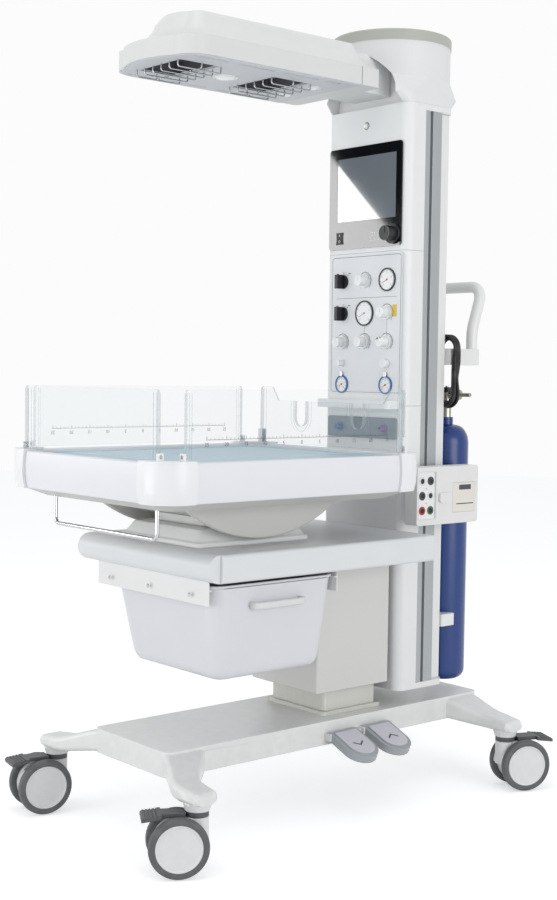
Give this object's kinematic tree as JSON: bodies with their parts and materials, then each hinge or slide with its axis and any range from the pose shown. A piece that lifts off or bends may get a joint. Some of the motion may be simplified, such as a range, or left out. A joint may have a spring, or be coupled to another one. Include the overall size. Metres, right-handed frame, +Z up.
{
  "type": "infant radiant warmer",
  "caption": "Wheeled infant warmer: lifting rear column with swivelling heater hood, gas panel and display, tilting padded bed with clear panels, shelf and side drawer.",
  "frame": {"origin": "middle of the footprint on the floor", "axes": "+X to the side with the module and lift pedals, -Y to the front of the trolley, +Z up"},
  "size_m": [0.6812, 1.1839, 1.826],
  "materials": {
    "white_paint": "powder coated",
    "white_plastic": "fine moulded texture",
    "grey_plastic": "satin",
    "grey_metal": "satin paint",
    "satin_aluminium": "satin anodised",
    "light_grey_plastic": "satin",
    "bed_grey_plastic": "satin",
    "blue_cover": "coated fabric cover",
    "clear_acrylic": "clear",
    "chrome_rod": "polished",
    "drawer_plastic": "smooth moulding",
    "reflector_steel": "bright",
    "turret_grey_plastic": "satin",
    "black_gloss": "gloss",
    "black_plastic": "satin",
    "white_fittings": "satin",
    "cream_plastic": "satin",
    "blue_paint": "gloss enamel",
    "brass_valve": "machined",
    "black_cable": "smooth sheath",
    "pedal_grey": "fine texture",
    "white_caster_plastic": "satin",
    "grey_tyre": "grey polyurethane",
    "dark_grey_plastic": "ribbed tread"
  },
  "bodies": {
    "base": {"base_casting": "white_paint", "caster_stems": "grey_plastic", "lift_inner_column": "grey_metal"},
    "carriage": {"lift_cover_box": "white_paint", "column_side_profiles": "satin_aluminium", "column_front_cover": "white_plastic", "column_rear_cover": "white_paint", "shelf_body": "white_plastic", "shelf_pedestal": "light_grey_plastic", "drawer_runners": "white_paint", "display_unit": "black_gloss", "gas_panel_fittings": "white_fittings", "module_housing": "white_plastic", "push_handle": "white_paint", "cylinder_body": "blue_paint", "cylinder_valve": "brass_valve", "rear_brackets": "white_fittings", "power_cord": "black_cable", "cord_coil": "black_cable", "power_plug": "black_cable"},
    "bed": {"bed_frame": "bed_grey_plastic", "bed_corner_caps": "bed_grey_plastic", "bed_cradle": "light_grey_plastic", "bed_front_bar": "chrome_rod", "mattress": "blue_cover"},
    "right_panel": {"right_panel": "clear_acrylic"},
    "left_panel": {"left_panel": "clear_acrylic"},
    "front_panel": {"front_panel": "clear_acrylic"},
    "rear_panel": {"rear_panel": "clear_acrylic"},
    "drawer": {"drawer_tub": "drawer_plastic", "drawer_handle": "drawer_plastic"},
    "hood": {"turret": "turret_grey_plastic", "hood_shell": "white_plastic", "hood_underside": "light_grey_plastic", "heater_reflectors": "reflector_steel", "heater_guards": "reflector_steel"},
    "rocker_switch": {"rocker_switch": "black_plastic"},
    "encoder_knob": {"encoder_knob": "black_plastic"},
    "printer_door": {"printer_door": "cream_plastic"},
    "cylinder_handwheel": {"cylinder_handwheel": "black_plastic"},
    "lift_down_pedal": {"lift_down_pedal": "pedal_grey"},
    "lift_up_pedal": {"lift_up_pedal": "pedal_grey"},
    "air_selector_knob": {"air_selector_knob": "black_plastic"},
    "suction_knob": {"suction_knob": "white_plastic"},
    "gas_selector_knob": {"gas_selector_knob": "black_plastic"},
    "pressure_limit_knob": {"pressure_limit_knob": "white_plastic"},
    "left_flow_knob": {"left_flow_knob": "white_plastic"},
    "middle_flow_knob": {"middle_flow_knob": "white_plastic"},
    "right_flow_knob": {"right_flow_knob": "white_plastic"},
    "front_right_caster": {"front_right_caster_housing": "white_caster_plastic"},
    "front_right_wheels": {"front_right_wheels": "grey_tyre"},
    "front_right_brake": {"front_right_brake": "dark_grey_plastic"},
    "front_left_caster": {"front_left_caster_housing": "white_caster_plastic"},
    "front_left_wheels": {"front_left_wheels": "grey_tyre"},
    "front_left_brake": {"front_left_brake": "dark_grey_plastic"},
    "rear_right_caster": {"rear_right_caster_housing": "white_caster_plastic"},
    "rear_right_wheels": {"rear_right_wheels": "grey_tyre"},
    "rear_right_brake": {"rear_right_brake": "dark_grey_plastic"},
    "rear_left_caster": {"rear_left_caster_housing": "white_caster_plastic"},
    "rear_left_wheels": {"rear_left_wheels": "grey_tyre"},
    "rear_left_brake": {"rear_left_brake": "dark_grey_plastic"}
  },
  "joints": [
    {"name": "lift_slide", "type": "slide", "parent": "base", "child": "carriage", "axis": [0, 0, 1], "range_m": [0, 0.2]},
    {"name": "bed_tilt", "type": "hinge", "parent": "carriage", "child": "bed", "pos_m": [0, -0.223, 1], "axis": [1, 0, 0], "range_deg": [-10, 10]},
    {"name": "drawer_slide", "type": "slide", "parent": "carriage", "child": "drawer", "axis": [1, 0, 0], "range_m": [0, 0.3]},
    {"name": "hood_swivel", "type": "hinge", "parent": "carriage", "child": "hood", "pos_m": [0, 0.308, 1.7], "axis": [0, 0, 1], "range_deg": [-90, 90]},
    {"name": "right_panel_fold", "type": "hinge", "parent": "bed", "child": "right_panel", "pos_m": [0.287, -0.223, 0.844], "axis": [0, 1, 0], "range_deg": [0, 90]},
    {"name": "left_panel_fold", "type": "hinge", "parent": "bed", "child": "left_panel", "pos_m": [-0.287, -0.223, 0.844], "axis": [0, -1, 0], "range_deg": [0, 90]},
    {"name": "front_panel_fold", "type": "hinge", "parent": "bed", "child": "front_panel", "pos_m": [0, -0.563, 0.844], "axis": [1, 0, 0], "range_deg": [0, 90]},
    {"name": "rear_panel_lift", "type": "slide", "parent": "bed", "child": "rear_panel", "axis": [0, 0, 1], "range_m": [0, 0.12]},
    {"name": "air_selector_knob_turn", "type": "hinge", "parent": "carriage", "child": "air_selector_knob", "pos_m": [-0.073, 0.227, 1.238], "axis": [0, -1, 0], "range_deg": [-45, 45]},
    {"name": "suction_knob_turn", "type": "hinge", "parent": "carriage", "child": "suction_knob", "pos_m": [0.004, 0.227, 1.238], "axis": [0, -1, 0], "range_deg": [0, 270]},
    {"name": "gas_selector_knob_turn", "type": "hinge", "parent": "carriage", "child": "gas_selector_knob", "pos_m": [-0.073, 0.227, 1.159], "axis": [0, -1, 0], "range_deg": [-45, 45]},
    {"name": "pressure_limit_knob_turn", "type": "hinge", "parent": "carriage", "child": "pressure_limit_knob", "pos_m": [0.081, 0.227, 1.159], "axis": [0, -1, 0], "range_deg": [0, 270]},
    {"name": "left_flow_knob_turn", "type": "hinge", "parent": "carriage", "child": "left_flow_knob", "pos_m": [-0.073, 0.227, 1.089], "axis": [0, -1, 0], "range_deg": [0, 270]},
    {"name": "middle_flow_knob_turn", "type": "hinge", "parent": "carriage", "child": "middle_flow_knob", "pos_m": [0.004, 0.227, 1.089], "axis": [0, -1, 0], "range_deg": [0, 270]},
    {"name": "right_flow_knob_turn", "type": "hinge", "parent": "carriage", "child": "right_flow_knob", "pos_m": [0.081, 0.227, 1.089], "axis": [0, -1, 0], "range_deg": [0, 270]},
    {"name": "encoder_turn", "type": "hinge", "parent": "carriage", "child": "encoder_knob", "pos_m": [0.1, 0.224, 1.346], "axis": [0, -1, 0], "continuous": true},
    {"name": "rocker_press", "type": "hinge", "parent": "carriage", "child": "rocker_switch", "pos_m": [-0.086, 0.2255, 1.345], "axis": [1, 0, 0], "range_deg": [-9, 9]},
    {"name": "printer_door_swing", "type": "hinge", "parent": "carriage", "child": "printer_door", "pos_m": [0.201, 0.341, 0.715], "axis": [0, 0, 1], "range_deg": [-100, 0]},
    {"name": "valve_turn", "type": "hinge", "parent": "carriage", "child": "cylinder_handwheel", "pos_m": [0.062, 0.463, 0.974], "axis": [0, 0, 1], "range_deg": [0, 350]},
    {"name": "lift_down_pedal_press", "type": "hinge", "parent": "base", "child": "lift_down_pedal", "pos_m": [0.152, 0.039, 0.177], "axis": [0, 1, 0], "range_deg": [0, 6], "stiffness_Nm_per_rad": 6, "springref_deg": -6.88},
    {"name": "lift_up_pedal_press", "type": "hinge", "parent": "base", "child": "lift_up_pedal", "pos_m": [0.152, 0.145, 0.177], "axis": [0, 1, 0], "range_deg": [0, 6], "stiffness_Nm_per_rad": 6, "springref_deg": -6.88},
    {"name": "front_right_swivel", "type": "hinge", "parent": "base", "child": "front_right_caster", "pos_m": [0.269, -0.471, 0.118], "axis": [0, 0, 1], "continuous": true},
    {"name": "front_right_roll", "type": "hinge", "parent": "front_right_caster", "child": "front_right_wheels", "pos_m": [0.2484, -0.50529, 0.0625], "axis": [0.8572, -0.515, 0], "continuous": true},
    {"name": "front_right_brake_press", "type": "hinge", "parent": "front_right_caster", "child": "front_right_brake", "pos_m": [0.25149, -0.50014, 0.108], "axis": [0.8572, -0.515, 0], "range_deg": [0, 4]},
    {"name": "front_left_swivel", "type": "hinge", "parent": "base", "child": "front_left_caster", "pos_m": [-0.269, -0.471, 0.118], "axis": [0, 0, 1], "continuous": true},
    {"name": "front_left_roll", "type": "hinge", "parent": "front_left_caster", "child": "front_left_wheels", "pos_m": [-0.27732, -0.51013, 0.0625], "axis": [0.9781, -0.2079, 0], "continuous": true},
    {"name": "front_left_brake_press", "type": "hinge", "parent": "front_left_caster", "child": "front_left_brake", "pos_m": [-0.27607, -0.50426, 0.108], "axis": [0.9781, -0.2079, 0], "range_deg": [0, 4]},
    {"name": "rear_right_swivel", "type": "hinge", "parent": "base", "child": "rear_right_caster", "pos_m": [0.269, 0.473, 0.118], "axis": [0, 0, 1], "continuous": true},
    {"name": "rear_right_roll", "type": "hinge", "parent": "rear_right_caster", "child": "rear_right_wheels", "pos_m": [0.28527, 0.50954, 0.0625], "axis": [-0.9135, 0.4067, 0], "continuous": true},
    {"name": "rear_right_brake_press", "type": "hinge", "parent": "rear_right_caster", "child": "rear_right_brake", "pos_m": [0.28283, 0.50406, 0.108], "axis": [-0.9135, 0.4067, 0], "range_deg": [0, 4]},
    {"name": "rear_left_swivel", "type": "hinge", "parent": "base", "child": "rear_left_caster", "pos_m": [-0.269, 0.473, 0.118], "axis": [0, 0, 1], "continuous": true},
    {"name": "rear_left_roll", "type": "hinge", "parent": "rear_left_caster", "child": "rear_left_wheels", "pos_m": [-0.26343, 0.51261, 0.0625], "axis": [-0.9903, 0.1392, 0], "continuous": true},
    {"name": "rear_left_brake_press", "type": "hinge", "parent": "rear_left_caster", "child": "rear_left_brake", "pos_m": [-0.26427, 0.50667, 0.108], "axis": [-0.9903, 0.1392, 0], "range_deg": [0, 4]}
  ]
}
